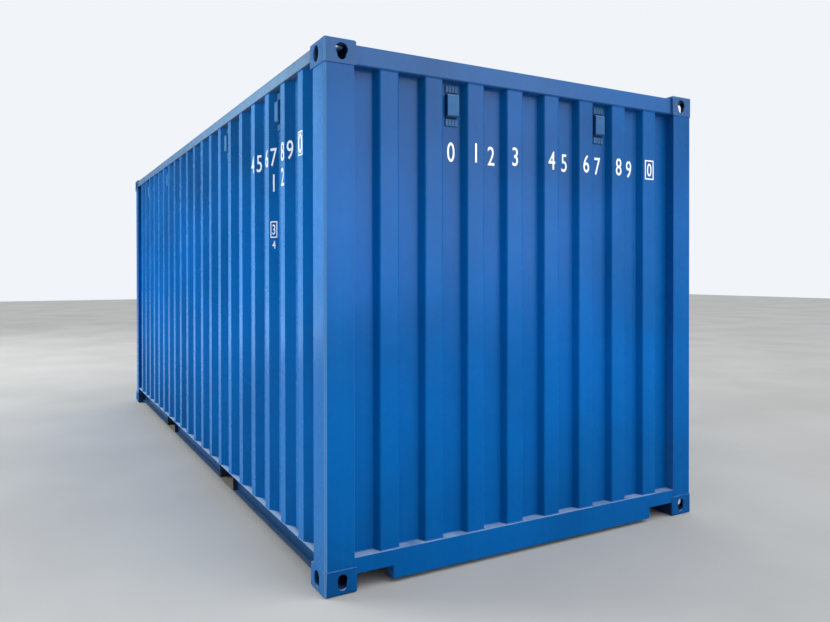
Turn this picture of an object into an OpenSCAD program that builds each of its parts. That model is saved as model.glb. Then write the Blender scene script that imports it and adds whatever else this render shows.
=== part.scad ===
// General purpose steel shipping container, 20 ft, standard height, doors closed.
// +X points to the blind front end, -X to the door end, +Z up, and the right side
// is at -Y. The origin is at the bottom centre of the corner castings.

/* [Overall] */
// Length over the corner castings
length = 6058; // [5500:1:7000]
// Width over the corner castings
width = 2438; // [2300:1:2600]
// Height over the corner castings
height = 2591; // [2400:1:2900]

/* [Corner castings] */
// Size of a casting along the length
casting_x = 178; // [174:1:190]
// Size of a casting along the width
casting_y = 162; // [156:1:175]
// Height of a casting
casting_z = 118; // [112:1:130]
// Thickness of its top or bottom plate, where the twist lock seats
casting_plate = 28.5; // [24:0.5:32]
// Thickness of its other walls
casting_wall = 13; // [8:0.5:13]
// Rounding of its upright outer edge
casting_round = 14; // [4:1:20]
// Middle of a twist lock slot from the end of the box
slot_from_end = 102.5; // [96:0.5:103]
// Middle of a twist lock slot from the side of the box
slot_from_side = 89.5; // [84:0.5:94]
// Length of a twist lock slot
slot_length = 124; // [110:1:124]
// Width of a twist lock slot
slot_width = 63.5; // [58:0.5:66]
// Height of the side holes and of the upper end holes
side_hole_tall = 79.5; // [70:0.5:80]
// Width of the side holes and of the upper end holes
side_hole_wide = 63.5; // [50:0.5:66]
// Width of the lower end holes
end_hole_wide = 51; // [44:0.5:60]
// Height of the lower end holes
end_hole_tall = 75; // [66:0.5:80]
// Middle of the holes from the face of the plate
hole_middle = 62; // [58:0.5:65]

/* [Posts] */
// Width of a front post across the end of the box
front_post_wide = 152; // [146:1:160]
// Front post along the side of the box
front_post_side = 150; // [120:1:174]
// Depth of the front post's return where the front wall is welded
front_post_return = 74; // [70:1:100]
// Depth of the front post's return where the side wall is welded
front_post_fold = 56; // [54:1:70]
// Sheet of the front posts
post_sheet = 6; // [4:0.5:8]
// Rear post along the side of the box
rear_post_side = 114; // [90:1:118]
// Rear post across the door opening
rear_post_deep = 52; // [52:1:60]
// How far the posts stand back from the faces of the castings
post_setback = 3; // [1:0.5:6]

/* [Front end] */
// How far the header stands back from the castings
header_setback = 14; // [8:1:20]
// Height of the header
header_tall = 96; // [80:1:110]
// Depth of the header
header_deep = 60; // [56:1:80]
// Sheet of the header
header_sheet = 4; // [3:0.5:6]
// Top of the front sill and the door sill
sill_top = 163; // [150:1:175]
// Underside of the sills
sill_bottom = 22; // [14:1:30]
// Depth of the front sill
sill_deep = 80; // [70:1:100]
// Sheet of the sills
sill_sheet = 4.5; // [3:0.5:6]
// Width of the notch beside each casting
notch_wide = 200; // [120:1:260]
// Top of the notch
notch_top = 91; // [70:1:110]

/* [Front wall] */
// How far the crests stand back from the castings
front_crest_setback = 20; // [16:1:28]
// Width of a crest
front_crest = 102; // [80:1:120]
// Slope between crest and trough, along the wall
front_slope = 18; // [10:1:24]
// Depth of the corrugation
front_deep = 45.6; // [30:0.1:48]
// Distance from crest to crest
front_pitch = 250; // [230:1:280]
// Flat sheet that is kept free beside each front post
front_flat = 50; // [40:1:100]
// Sheet of the front wall
front_sheet = 2; // [1.5:0.1:3]

/* [Side walls] */
// Inner radius of the bends in the walls and door panels
wall_bend = 10; // [2:1:14]
// How far the crests stand back from the castings
side_crest_setback = 12; // [12:1:16]
// Width of a crest
side_crest = 72; // [60:1:80]
// Slope between crest and trough, along the wall
side_slope = 68; // [50:1:72]
// Depth of the corrugation
side_deep = 36; // [20:1:38]
// Distance from crest to crest
side_pitch = 278; // [260:1:300]
// Flat sheet between the front post and the first slope
side_front_flat = 98; // [60:1:120]
// Flat sheet that is kept free in front of the rear post
side_rear_flat = 90; // [60:1:120]
// Sheet of the side walls
side_sheet = 2; // [1.5:0.1:3]

/* [Side rails] */
// How far the rails stand back from the castings
rail_setback = 6; // [3:1:8]
// Side of the square top rail tube
top_rail = 60; // [55:1:70]
// Rounding of the top rail tube
top_rail_round = 6; // [4:1:8]
// Sheet of the top rail tube
top_rail_sheet = 3; // [2:0.5:4]
// Underside of the roof below the top of the castings
roof_drop = 18; // [12:1:24]
// Top of the bottom rails
bottom_rail_top = 168; // [160:1:175]
// Underside of the bottom rails
bottom_rail_bottom = 26; // [18:1:50]
// Width of the bottom rail's upper flange
upper_flange = 72.5; // [60:0.5:80]
// Width of the bottom rail's lower flange
lower_flange = 30; // [24:1:40]
// Sheet of the bottom rails
bottom_rail_sheet = 4.5; // [3:0.5:6]

/* [Base] */
// Distance between the fork pockets
pocket_spacing = 2080; // [1800:1:2200]
// Clear width of a fork pocket
pocket_wide = 360; // [300:1:400]
// Plate of the fork pockets
pocket_plate = 4; // [3:0.5:6]
// Width of the straps that close a pocket's underside near its ends
pocket_strap = 200; // [120:1:300]
// Number of cross members between front sill and front pocket, and likewise at the rear
end_members = 6; // [3:1:7]
// Number of cross members between the pockets
middle_members = 6; // [3:1:7]
// Flange width of a cross member
member_flange = 45; // [35:1:55]
// Sheet of a cross member
member_sheet = 4; // [3:0.5:6]
// Thickness of the floor boards
floor_board = 28; // [21:1:32]
// Joint between floor boards
floor_joint = 3; // [1:0.5:6]
// Rows of floor boards along the length
floor_rows = 5; // [3:1:7]

/* [Roof] */
// Sheet of the roof
roof_sheet = 2; // [1.5:0.1:3]
// Depth of the pressed troughs
roof_deep = 20; // [12:1:24]
// Distance from trough to trough
roof_pitch = 209; // [190:1:240]
// Width of a trough at its bottom
roof_trough = 91; // [70:1:100]
// Slope of a trough's sides
roof_slope = 13.5; // [8:0.5:20]
// Flat rim of the roof sheet
roof_rim = 120; // [112:1:150]
// Slope of a trough's ends
roof_end_slope = 60; // [30:1:90]
// Plates beside the castings, on the roof
corner_plate_x = 300; // [220:1:400]
// Their size along the width
corner_plate_y = 420; // [220:1:500]
// Their thickness
corner_plate = 3; // [2:0.5:4]

/* [Doors] */
// How far the door faces and rear frame stand back from the castings
door_setback = 54; // [50:1:60]
// Height of the door header
door_header_tall = 125; // [110:1:150]
// Depth of the door header
door_header_deep = 70; // [60:1:90]
// Depth of the door sill
door_sill_deep = 100; // [80:1:118]
// Thickness of a door leaf
leaf_deep = 50; // [45:1:60]
// Height of the leaf's top and bottom members
leaf_rail = 100; // [80:1:120]
// Width of the leaf's upright members
leaf_stile = 100; // [70:1:120]
// Sheet of the leaf's members
leaf_sheet = 3; // [2:0.5:4]
// Gap round a leaf, filled by the gasket
leaf_gap = 5; // [3:0.5:8]
// Number of horizontal crests on a door panel
door_crests = 5; // [3:1:7]
// Depth of the door panel's corrugation
door_deep = 36; // [20:1:38]
// Slope of the door panel's corrugation
door_slope = 50; // [40:1:60]
// Sheet of the door panel
door_sheet = 2; // [1.5:0.1:3]
// Number of hinges on a leaf
hinge_count = 4; // [3:1:5]
// Radius of a hinge's knuckle
hinge_r = 12; // [9:0.5:13]
// Radius of a hinge's pin
hinge_pin_r = 8; // [5:0.5:8.5]
// Height of a hinge's knuckle and blade
hinge_tall = 84; // [60:1:110]
// Thickness of a hinge's blade
hinge_blade = 8; // [5:0.5:12]
// Height of each of the two lugs on the post
hinge_lug = 16; // [10:1:24]
// Clearance between the knuckle and the lugs
hinge_gap = 2; // [1:0.5:4]

/* [Lock rods] */
// Outer radius of a lock rod
rod_r = 17; // [14:0.5:18]
// Wall of a lock rod
rod_wall = 3; // [2:0.5:4]
// Clear space between a lock rod and the door faces
rod_stand = 8; // [6:0.5:12]
// Distance of the inner lock rods from the middle of the doors
inner_rod_y = 290; // [200:1:360]
// Distance of the outer lock rods from the middle of the doors
outer_rod_y = 880; // [760:1:940]
// Width of a cam
cam_wide = 66; // [58:1:76]
// Height of a cam
cam_tall = 36; // [28:1:44]
// Depth of a cam
cam_deep = 20; // [16:1:24]
// Middle of the cams from the edges of the door opening
cam_from_edge = 45; // [40:1:52]
// Clearance of a cam in its keeper
cam_gap = 1.5; // [1:0.5:3]
// Plate of a keeper, less than the clear space behind the rods
keeper_plate = 5; // [3:0.5:5.5]
// Height of a keeper's plate
keeper_tall = 78; // [70:1:84]
// Wall of a keeper's jaws
keeper_jaw = 12; // [8:0.5:16]
// How far the jaws reach over the cam
keeper_grip = 9; // [5:0.5:10]
// Rounding of the plates and jaws on the doors
gear_round = 6; // [3:0.5:7.5]
// Strap of a rod bracket
bracket_strap = 6; // [4:0.5:8]
// Height of a rod bracket
bracket_tall = 44; // [30:1:60]
// Ears of a rod bracket beside the strap
bracket_ear = 30; // [20:1:40]
// Height of the collars that stop a rod above and below its end brackets
collar_tall = 12; // [8:1:20]

/* [Door handles] */
// Height between the handles of the inner and outer rods
handle_spread = 90; // [60:1:110]
// Length of a handle
handle_length = 430; // [300:1:450]
// Height of a handle at its hub
handle_tall = 38; // [32:1:44]
// Height of a handle's grip
handle_grip = 28; // [20:1:32]
// Thickness of a handle's bar
handle_bar = 10; // [8:0.5:12]
// Length of the fork that carries the bar
handle_fork = 62; // [50:1:80]
// Thickness of each side of the fork
handle_cheek = 5; // [3:0.5:7]
// Middle of the catch from the tip of the handle
catch_from_tip = 95; // [60:1:120]
// Width of the catch
catch_wide = 46; // [36:1:60]
// Height of the catch's plate
catch_tall = 58; // [48:1:64]
// Width of the latch over the handle
catch_latch = 28; // [20:1:36]
// Sheet of the catch
catch_sheet = 5; // [3:0.5:6]

/* [Ventilators] */
// Height of a ventilator's base plate
vent_tall = 206; // [190:1:240]
// Thickness of its base plate
vent_plate = 3; // [2:0.5:5]
// Height of the grooved pads above and below the cover
vent_pad_tall = 34; // [20:1:36]
// How far the pads stand out of the base plate
vent_pad = 5; // [3:0.5:8]
// Width of a groove in the pads
vent_groove = 5; // [3:0.5:8]
// Height of its cover
vent_cover_tall = 114; // [80:1:118]
// Depth of a ventilator from the wall to the face of its cover
vent_deep = 27; // [22:1:30]
// Wall of the cover
vent_wall = 3; // [2:0.5:4]
// Slanted edge along the top and the bottom of the cover
vent_slant = 7; // [4:1:10]
// Air gap along both sides of the cover
vent_slit = 9; // [5:1:12]
// Middle height of the ventilators below the top of the castings
vent_drop = 234; // [220:1:320]
// How much higher the side ventilators are than those on the front
side_vent_rise = 34; // [-60:1:40]
// Width of a ventilator on the front wall
front_vent_wide = 70; // [60:1:84]
// Width of a ventilator on a side wall
side_vent_wide = 60; // [40:1:62]
// Flat edge of the base plate beside the cover
vent_edge = 2; // [1:0.5:6]

/* [Hidden] */

eps = 1;
half_l = length / 2;
half_w = width / 2;
roof_z = height - roof_drop;
inside_y = half_w - casting_y;
front_wall_y = half_w - front_post_wide;
front_edge = half_l - front_post_side;
rear_edge = -half_l + door_setback + rear_post_side;
blue = [0.02, 0.33, 0.62];
deep_blue = [0.02, 0.27, 0.52];
steel = [0.55, 0.57, 0.60];

// Frames

// Puts a shape, drawn inwards from an outer corner, at one of the eight corners
module at_corner(x_side, y_side, z_side) {
    translate([x_side * half_l, y_side * half_w, z_side > 0 ? height : 0])
        mirror([x_side > 0 ? 1 : 0, 0, 0])
            mirror([0, y_side > 0 ? 1 : 0, 0])
                mirror([0, 0, z_side > 0 ? 1 : 0]) children();
}

// Draws a shape of the right side, or its mirror image for the left
module on_side(y_side) {
    mirror([0, y_side > 0 ? 1 : 0, 0]) children();
}

// Extrudes a section drawn in Y and Z along X
module along_x(from, to) {
    translate([from, 0, 0]) rotate([90, 0, 90]) linear_extrude(to - from) children();
}

// Extrudes a section drawn in X and Z along Y
module along_y(from, to) {
    translate([0, to, 0]) rotate([90, 0, 0]) linear_extrude(to - from) children();
}

// The block that each corner casting fills, for cutting its neighbours
module casting_zones() {
    for (x_side = [-1, 1], y_side = [-1, 1], z_side = [-1, 1])
        at_corner(x_side, y_side, z_side)
            translate([-eps, -eps, -eps]) cube([casting_x + eps, casting_y + eps, casting_z + eps]);
}

// Sections

// An upright hole of half circles and straight sides, centred on the origin
module oblong(wide, tall) {
    r = min(wide, tall) / 2;
    dx = wide / 2 - r;
    dy = tall / 2 - r;
    union() {
        square([dx > 0 ? 2 * dx : 2 * r, dy > 0 ? 2 * dy : 2 * r], center = true);
        translate([-dx, -dy]) circle(r, $fn = 48);
        translate([dx, dy]) circle(r, $fn = 48);
    }
}

// A square tube with rounded edges, its lower left corner at the origin
module tube_section(wide, tall, sheet, round_r) {
    difference() {
        rounded(wide, tall, round_r);
        translate([sheet, sheet]) rounded(wide - 2 * sheet, tall - 2 * sheet, max(round_r - sheet, 0.5));
    }
}

module rounded(wide, tall, r) {
    union() {
        translate([r, 0]) square([wide - 2 * r, tall]);
        translate([0, r]) square([wide, tall - 2 * r]);
        for (x = [r, wide - r], y = [r, tall - r]) translate([x, y]) circle(r, $fn = 32);
    }
}

// Points round a corner that is bent at radius `r`, from direction `a` to direction `b`
function bend(corner, a, b, r) =
    let (side = b > a ? 1 : -1,
         steps = ceil(abs(b - a) / 15),
         t = r * tan(abs(b - a) / 2),
         middle = corner - t * [cos(a), sin(a)] + side * r * [-sin(a), cos(a)])
    [for (k = [0 : steps]) let (d = a + (b - a) * k / steps) middle + side * r * [sin(d), -cos(d)]];

// One face of a pressed sheet: four bends for each crest. `shift` is the depth of the
// face in the sheet, and `k` is how far that moves each corner along the wall. The radius
// is `crest_r` at the crests and `trough_r` at the troughs.
function bends(first, n, pitch, crest, slope, deep, shift, k, crest_r, trough_r) =
    let (tilt = atan2(deep, slope))
    [for (i = [0 : n - 1]) let (a = first + i * pitch) each concat(
        bend([a - slope + k, deep + shift], 0, -tilt, trough_r),
        bend([a + k, shift], -tilt, 0, crest_r),
        bend([a + crest - k, shift], 0, tilt, crest_r),
        bend([a + crest + slope - k, deep + shift], tilt, 0, trough_r))];

function backwards(points) = [for (i = [len(points) - 1 : -1 : 0]) points[i]];

// Plan of a pressed sheet that runs along X from 0 to `span`, with its crests at Y = 0
// and its troughs at Y = `deep`
module pressed_sheet(span, first, n, pitch, crest, slope, deep, sheet) {
    k = sheet * tan(atan2(deep, slope) / 2);
    polygon(concat(
        [[0, deep]],
        bends(first, n, pitch, crest, slope, deep, 0, 0, wall_bend + sheet, wall_bend),
        [[span, deep], [span, deep + sheet]],
        backwards(bends(first, n, pitch, crest, slope, deep, sheet, k, wall_bend, wall_bend + sheet)),
        [[0, deep + sheet]]));
}

// Corner castings

module shield_hole(wide, tall) {
    low_r = wide * 0.37;
    union() {
        translate([0, tall / 2 - wide / 2]) circle(wide / 2, $fn = 48);
        translate([0, low_r - tall / 2]) circle(low_r, $fn = 48);
        polygon([[-wide / 2, tall / 2 - wide / 2], [-low_r, low_r - tall / 2],
                 [low_r, low_r - tall / 2], [wide / 2, tall / 2 - wide / 2]]);
    }
}

// A rectangle from the origin whose two lower corners are rounded
module round_footed(wide, tall) {
    union() {
        translate([0, casting_round]) square([wide, tall - casting_round]);
        translate([casting_round, 0]) square([wide - 2 * casting_round, tall]);
        for (x = [casting_round, wide - casting_round])
            translate([x, casting_round]) circle(casting_round, $fn = 48);
    }
}

// The block of a casting, rounded at its outer edge and all round its plate
module casting_block() {
    intersection() {
        union() {
            translate([casting_round, 0, 0]) cube([casting_x - casting_round, casting_y, casting_z]);
            translate([0, casting_round, 0]) cube([casting_x, casting_y - casting_round, casting_z]);
            translate([casting_round, casting_round, 0]) cylinder(h = casting_z, r = casting_round, $fn = 48);
        }
        along_x(-eps, casting_x + eps) round_footed(casting_y, casting_z);
        along_y(-eps, casting_y + eps) round_footed(casting_x, casting_z);
    }
}

// Drawn inwards from its outer corner, which is at the origin, with its plate at Z = 0
module casting_body(upper) {
    difference() {
        casting_block();
        translate([casting_wall, casting_wall, casting_plate])
            cube([casting_x - 2 * casting_wall, casting_y - 2 * casting_wall,
                  casting_z - casting_plate - casting_wall]);
        translate([slot_from_end, slot_from_side, -eps])
            linear_extrude(casting_plate + 2 * eps) oblong(slot_length, slot_width);
        translate([slot_from_end, -eps, hole_middle]) rotate([-90, 0, 0])
            linear_extrude(casting_wall + 2 * eps) oblong(side_hole_wide, side_hole_tall);
        translate([-eps, slot_from_side, hole_middle]) rotate([90, 0, 90])
            linear_extrude(casting_wall + 2 * eps)
                if (upper) mirror([0, 1, 0]) shield_hole(side_hole_wide, side_hole_tall);
                else oblong(end_hole_wide, end_hole_tall);
    }
}

module casting(x_side, y_side, z_side) {
    color(blue) at_corner(x_side, y_side, z_side) casting_body(z_side > 0);
}

// Posts

// Outline of a front post, drawn inwards from its outer corner
module front_post_outline() {
    polygon([[post_setback, post_setback], [front_post_side, post_setback],
             [front_post_side, front_post_fold], [front_post_return, front_post_wide],
             [post_setback, front_post_wide]]);
}

module front_post_plan() {
    difference() {
        intersection() {
            front_post_outline();
            translate([post_setback, post_setback]) rounded(width, width, casting_round);
        }
        offset(delta = -post_sheet) front_post_outline();
    }
}

module front_post(y_side) {
    color(blue) at_corner(1, y_side, -1)
        translate([0, 0, casting_z]) linear_extrude(height - 2 * casting_z) front_post_plan();
}

module rear_post(y_side) {
    color(blue) at_corner(-1, y_side, -1)
        translate([door_setback, post_setback, casting_z])
            linear_extrude(height - 2 * casting_z)
                tube_section(rear_post_side, rear_post_deep - post_setback, post_sheet, casting_round / 2);
}

// Front end

module front_header() {
    color(blue) difference() {
        along_y(-inside_y, inside_y)
            translate([half_l - header_setback - header_deep, roof_z - header_tall])
                tube_section(header_deep, header_tall, header_sheet, header_sheet * 2);
        casting_zones();
    }
}

// An open channel, its face outwards and its flanges inwards, with a lined notch
// beside each casting
module front_sill() {
    face_x = half_l - post_setback;
    back_x = face_x - sill_deep;
    tall = sill_top - sill_bottom;
    notch_tall = notch_top - sill_bottom;
    color(blue) difference() {
        union() {
            along_y(-front_wall_y, front_wall_y) translate([back_x, sill_bottom]) difference() {
                square([sill_deep, tall]);
                translate([-eps, sill_sheet]) square([sill_deep - sill_sheet + eps, tall - 2 * sill_sheet]);
            }
            for (y_side = [-1, 1]) on_side(y_side)
                translate([back_x, -inside_y, sill_bottom]) cube([sill_deep, notch_wide, notch_tall]);
        }
        for (y_side = [-1, 1]) on_side(y_side)
            translate([back_x - eps, -inside_y - eps, sill_bottom - eps])
                cube([sill_deep + 2 * eps, notch_wide - sill_sheet + eps, notch_tall - sill_sheet + eps]);
        casting_zones();
    }
}

function crest_count(span, pitch, crest, slope, flats) =
    floor((span - flats - 2 * slope - crest) / pitch) + 1;

module front_wall() {
    span = 2 * front_wall_y;
    n = crest_count(span, front_pitch, front_crest, front_slope, 2 * front_flat);
    first = (span - (n - 1) * front_pitch - front_crest) / 2;
    color(blue) difference() {
        translate([half_l - front_crest_setback, -front_wall_y, sill_top])
            rotate([0, 0, 90]) linear_extrude(roof_z - header_tall - sill_top)
                pressed_sheet(span, first, n, front_pitch, front_crest, front_slope, front_deep,
                              front_sheet);
        casting_zones();
    }
}

// Side walls and rails

side_span = front_edge - rear_edge;
side_crests = crest_count(side_span, side_pitch, side_crest, side_slope, side_front_flat + side_rear_flat);
side_first = side_front_flat + side_slope;

module side_wall(y_side) {
    color(blue) on_side(y_side) difference() {
        translate([front_edge, -half_w + side_crest_setback, bottom_rail_top]) mirror([1, 0, 0])
            linear_extrude(roof_z - top_rail - bottom_rail_top)
                pressed_sheet(side_span, side_first, side_crests, side_pitch, side_crest, side_slope,
                              side_deep, side_sheet);
        casting_zones();
    }
}

module top_rail_piece(y_side) {
    color(blue) on_side(y_side) along_x(-half_l + casting_x, half_l - casting_x)
        translate([-half_w + rail_setback, roof_z - top_rail])
            tube_section(top_rail, top_rail, top_rail_sheet, top_rail_round);
}

rail_web_y = rail_setback + upper_flange - bottom_rail_sheet;

// A channel that opens outwards, with the fork pockets cut through its web
module bottom_rail(y_side) {
    tall = bottom_rail_top - bottom_rail_bottom;
    color(blue) on_side(y_side) difference() {
        along_x(rear_edge, front_edge) translate([-half_w, bottom_rail_bottom]) union() {
            translate([rail_setback, tall - bottom_rail_sheet]) square([upper_flange, bottom_rail_sheet]);
            translate([rail_web_y, 0]) square([bottom_rail_sheet, tall]);
            translate([rail_web_y + bottom_rail_sheet - lower_flange, 0])
                square([lower_flange, bottom_rail_sheet]);
        }
        casting_zones();
        for (x_side = [-1, 1]) pocket_space(x_side, pocket_plate);
    }
}

// Base

pocket_bottom = bottom_rail_bottom;
pocket_top = bottom_rail_top - floor_board;

// The space that a fork pocket takes through the whole width, grown by `grow` all round
module pocket_space(x_side, grow) {
    translate([x_side * pocket_spacing / 2 - pocket_wide / 2 - grow, -half_w - eps, pocket_bottom - eps])
        cube([pocket_wide + 2 * grow, width + 2 * eps, pocket_top - pocket_bottom + eps]);
}

module fork_pocket(x_side) {
    outer_wide = pocket_wide + 2 * pocket_plate;
    tall = pocket_top - pocket_bottom;
    reach = half_w - rail_web_y - bottom_rail_sheet + lower_flange;
    color(deep_blue) translate([x_side * pocket_spacing / 2, 0, pocket_bottom]) difference() {
        translate([-outer_wide / 2, -reach, 0]) cube([outer_wide, 2 * reach, tall]);
        translate([-pocket_wide / 2, -reach - eps, pocket_plate])
            cube([pocket_wide, 2 * (reach + eps), tall - 2 * pocket_plate]);
        translate([-pocket_wide / 2, -reach + pocket_strap, -eps])
            cube([pocket_wide, 2 * (reach - pocket_strap), pocket_plate + 2 * eps]);
    }
}

// Cross members between two faces, equally spaced
module member_row(from, to, n) {
    reach = half_w - rail_web_y - bottom_rail_sheet;
    gap = (to - from) / (n + 1);
    for (i = [1 : n])
        along_y(-reach, reach) translate([from + i * gap - member_flange / 2, pocket_bottom]) difference() {
            square([member_flange, pocket_top - pocket_bottom]);
            translate([member_sheet, member_sheet])
                square([member_flange, pocket_top - pocket_bottom - 2 * member_sheet]);
        }
}

module cross_members() {
    pocket_half = pocket_wide / 2 + pocket_plate;
    pocket_x = pocket_spacing / 2;
    front_x = half_l - post_setback - sill_deep;
    rear_x = -half_l + door_setback + door_sill_deep;
    color(deep_blue) {
        member_row(pocket_x + pocket_half, front_x, end_members);
        member_row(-pocket_x + pocket_half, pocket_x - pocket_half, middle_members);
        member_row(rear_x, -pocket_x - pocket_half, end_members);
    }
}

module floor_boards() {
    reach = half_w - rail_web_y - bottom_rail_sheet - floor_joint;
    front_x = half_l - post_setback - sill_deep - floor_joint;
    rear_x = -half_l + door_setback + door_sill_deep + floor_joint;
    row = (front_x - rear_x + floor_joint) / floor_rows;
    color([0.50, 0.34, 0.22])
        for (i = [0 : floor_rows - 1], y_side = [-1, 1]) on_side(y_side) difference() {
            translate([rear_x + i * row, -reach, pocket_top])
                cube([row - floor_joint, reach - floor_joint / 2, floor_board]);
            at_corner(1, -1, -1) linear_extrude(height) offset(delta = floor_joint) front_post_outline();
        }
}

// Roof

// Everything below the roof's upper face, lowered by `down`
module below_roof(down) {
    front_x = half_l - header_setback - header_deep / 2;
    rear_x = -half_l + door_setback + door_header_deep / 2;
    trough_x = front_x - rear_x - 2 * roof_rim;
    n = floor((trough_x - roof_trough - 2 * roof_slope) / roof_pitch) + 1;
    first = rear_x + roof_rim + (trough_x - (n - 1) * roof_pitch) / 2;
    reach = half_w - roof_rim;
    top = roof_z + roof_sheet - down;
    difference() {
        translate([rear_x, -half_w + rail_setback + top_rail_round, top - roof_deep - 2 * roof_sheet])
            cube([front_x - rear_x, width - 2 * (rail_setback + top_rail_round), roof_deep + 2 * roof_sheet]);
        intersection() {
            along_y(-half_w, half_w) for (i = [0 : n - 1]) translate([first + i * roof_pitch, top])
                polygon([[-roof_trough / 2, -roof_deep], [roof_trough / 2, -roof_deep],
                         [roof_trough / 2 + roof_slope, 0], [roof_trough / 2 + roof_slope, eps],
                         [-roof_trough / 2 - roof_slope, eps], [-roof_trough / 2 - roof_slope, 0]]);
            along_x(rear_x, front_x) translate([0, top])
                polygon([[-reach, eps], [-reach, 0], [roof_end_slope - reach, -roof_deep],
                         [reach - roof_end_slope, -roof_deep], [reach, 0], [reach, eps]]);
        }
    }
}

module roof() {
    color(blue) difference() {
        below_roof(0);
        below_roof(roof_sheet);
        casting_zones();
        translate([-half_l, -half_w, roof_z - 3 * roof_deep])
            cube([length, width, 2 * roof_deep]);
    }
}

module roof_corner_plates() {
    color(blue) for (x_side = [-1, 1], y_side = [-1, 1]) difference() {
        at_corner(x_side, y_side, 1)
            translate([x_side > 0 ? header_setback + header_deep / 2 : door_setback + door_header_deep / 2,
                       rail_setback + top_rail_round, roof_drop - roof_sheet - corner_plate])
                cube([corner_plate_x, corner_plate_y, corner_plate]);
        casting_zones();
    }
}

// Door end

door_x = -half_l + door_setback;
door_half = half_w - rear_post_deep;
door_low = sill_top + leaf_gap;
door_high = roof_z - door_header_tall - leaf_gap;
leaf_wide = door_half - 1.5 * leaf_gap;

module door_header() {
    color(blue) difference() {
        along_y(-door_half, door_half) translate([door_x, roof_z - door_header_tall])
            tube_section(door_header_deep, door_header_tall, header_sheet, header_sheet * 2);
        casting_zones();
    }
}

module door_sill() {
    color(blue) difference() {
        along_y(-door_half, door_half) translate([door_x, sill_bottom])
            tube_section(door_sill_deep, sill_top - sill_bottom, sill_sheet, sill_sheet * 1.5);
        casting_zones();
    }
}

// A leaf is drawn on the right side, from the middle gap to the post
module at_leaf(y_side) {
    on_side(y_side) translate([door_x, -leaf_wide - leaf_gap / 2, door_low]) children();
}

leaf_tall = door_high - door_low;

// Four hollow members, mitred into one frame
module door_frame(y_side) {
    color(blue) at_leaf(y_side) difference() {
        cube([leaf_deep, leaf_wide, leaf_tall]);
        translate([-eps, leaf_stile, leaf_rail])
            cube([leaf_deep + 2 * eps, leaf_wide - 2 * leaf_stile, leaf_tall - 2 * leaf_rail]);
        difference() {
            translate([leaf_sheet, leaf_sheet, leaf_sheet])
                cube([leaf_deep - 2 * leaf_sheet, leaf_wide - 2 * leaf_sheet, leaf_tall - 2 * leaf_sheet]);
            translate([0, leaf_stile - leaf_sheet, leaf_rail - leaf_sheet])
                cube([leaf_deep, leaf_wide - 2 * (leaf_stile - leaf_sheet),
                      leaf_tall - 2 * (leaf_rail - leaf_sheet)]);
        }
    }
}

// The crest rows of a door panel, and the panel itself: its sheet runs upwards
panel_tall = leaf_tall - 2 * leaf_rail;
door_pitch = panel_tall / door_crests;
door_crest = door_pitch / 2 - door_slope;

// Height of the middle of a crest row, counted from 0 at the bottom
function crest_row_z(i) = door_low + leaf_rail + (i + 0.5) * door_pitch;

module door_panel(y_side) {
    color(blue) on_side(y_side)
        along_y(-leaf_wide - leaf_gap / 2 + leaf_stile, -leaf_gap / 2 - leaf_stile)
            translate([door_x, door_low + leaf_rail]) mirror([1, 0, 0]) rotate([0, 0, 90])
                pressed_sheet(panel_tall, (door_pitch - door_crest) / 2, door_crests, door_pitch,
                              door_crest, door_slope, door_deep, door_sheet);
}

// A strip round each leaf
module door_gaskets() {
    grow = leaf_gap / 2 - 0.25;
    color([0.06, 0.06, 0.07]) for (y_side = [-1, 1]) at_leaf(y_side) difference() {
        translate([leaf_deep / 4, -grow, -grow])
            cube([leaf_deep / 2, leaf_wide + 2 * grow, leaf_tall + 2 * grow]);
        cube([leaf_deep, leaf_wide, leaf_tall]);
    }
}

// Puts a shape at a place on the face of a leaf. +X points out of the door there.
module on_door(y_side, y, z) {
    on_side(y_side) translate([door_x, -y, z]) mirror([1, 0, 0]) children();
}

// A flat plate on the door's face with rounded corners, centred on its place
module face_plate(wide, tall, thick) {
    along_x(0, thick) translate([-wide / 2, -tall / 2]) rounded(wide, tall, gear_round);
}

// A hinge: a blade on the leaf with its knuckle in front of the post, a pin, and a lug
// on the post above and below the knuckle
module hinge() {
    reach = leaf_stile;
    pin_tall = hinge_tall + 2 * (hinge_gap + hinge_lug) + 2 * hinge_gap;
    union() {
        along_x(0, hinge_blade)
            polygon([[0, -hinge_tall / 2], [reach / 2, -hinge_tall / 2], [reach, -hinge_tall / 4],
                     [reach, hinge_tall / 4], [reach / 2, hinge_tall / 2], [0, hinge_tall / 2]]);
        translate([hinge_r, 0, -hinge_tall / 2]) cylinder(h = hinge_tall, r = hinge_r, $fn = 32);
        translate([hinge_r, 0, -pin_tall / 2]) cylinder(h = pin_tall, r = hinge_pin_r, $fn = 32);
        for (z = [-hinge_tall / 2 - hinge_gap - hinge_lug, hinge_tall / 2 + hinge_gap])
            translate([0, 0, z]) linear_extrude(hinge_lug) union() {
                translate([hinge_r, 0]) circle(hinge_r, $fn = 32);
                translate([0, -hinge_r]) square([hinge_r, 2 * hinge_r]);
            }
    }
}

module hinges(y_side) {
    gap = leaf_tall / hinge_count;
    color(steel) for (i = [0 : hinge_count - 1])
        on_door(y_side, door_half + hinge_r, door_low + (i + 0.5) * gap) hinge();
}

fit = 0.3;
rod_out = rod_stand + rod_r;
low_cam_z = sill_top - cam_from_edge;
high_cam_z = roof_z - door_header_tall + cam_from_edge;
rod_low_z = low_cam_z - cam_tall;
rod_tall = high_cam_z - low_cam_z + 2 * cam_tall;
rod_places = [[-1, inner_rod_y], [-1, outer_rod_y], [1, inner_rod_y], [1, outer_rod_y]];
bracket_rows = [door_low + leaf_rail / 2, crest_row_z(1), crest_row_z(door_crests - 2),
                door_high - leaf_rail / 2];

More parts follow.
